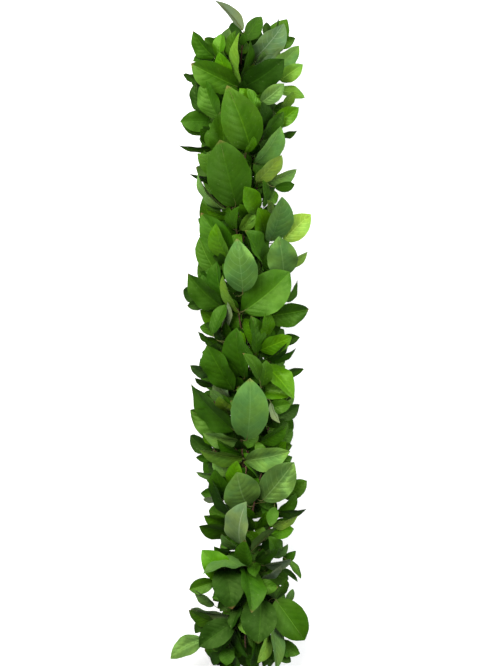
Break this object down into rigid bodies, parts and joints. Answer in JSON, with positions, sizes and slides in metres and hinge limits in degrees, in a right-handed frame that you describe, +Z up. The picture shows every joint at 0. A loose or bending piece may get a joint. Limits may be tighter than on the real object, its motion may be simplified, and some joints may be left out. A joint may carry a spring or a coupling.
{
  "type": "leaf garland",
  "caption": "Fresh garland of broad glossy green leaves on woody twigs, bound by a spiral wire along a twine, lying flat.",
  "frame": {"origin": "centre of the bounding box in plan, on the table the garland lies on", "axes": "+Y along the garland, towards the end that most leaf tips point at; +Z up from the table; +X across"},
  "size_m": [0.1904, 0.9032, 0.107],
  "materials": {
    "foliage": "waxy satin",
    "twine": "matt",
    "wire": "satin"
  },
  "bodies": {
    "root": {"binding_wire": "wire", "core_twine": "twine", "twig_down_01": "foliage", "twig_down_02": "foliage", "twig_down_03": "foliage", "twig_down_04": "foliage", "twig_down_05": "foliage", "twig_down_06": "foliage", "twig_down_07": "foliage", "twig_down_08": "foliage", "twig_up_01": "foliage", "twig_up_03": "foliage", "twig_up_04": "foliage", "twig_up_05": "foliage", "twig_up_06": "foliage", "twig_up_07": "foliage", "twig_up_08": "foliage", "twig_up_09": "foliage", "twig_up_10": "foliage", "twig_up_11": "foliage", "twig_up_12": "foliage", "twig_up_13": "foliage", "twig_up_14": "foliage", "twig_up_15": "foliage", "twig_up_16": "foliage", "twig_up_17": "foliage", "twig_up_18": "foliage", "twig_up_19": "foliage", "twig_up_20": "foliage", "twig_up_21": "foliage", "twig_up_22": "foliage", "twig_up_23": "foliage", "twig_up_24": "foliage", "twig_up_25": "foliage", "twig_up_26": "foliage", "twig_up_27": "foliage", "twig_up_28": "foliage", "twig_up_29": "foliage", "twig_up_30": "foliage", "twig_up_31": "foliage", "twig_up_32": "foliage", "twig_up_33": "foliage", "twig_up_34": "foliage", "twig_up_35": "foliage", "twig_up_36": "foliage", "twig_up_37": "foliage", "twig_up_38": "foliage", "twig_up_39": "foliage", "twig_up_40": "foliage", "twig_up_41": "foliage", "twig_up_42": "foliage"}
  },
  "joints": []
}
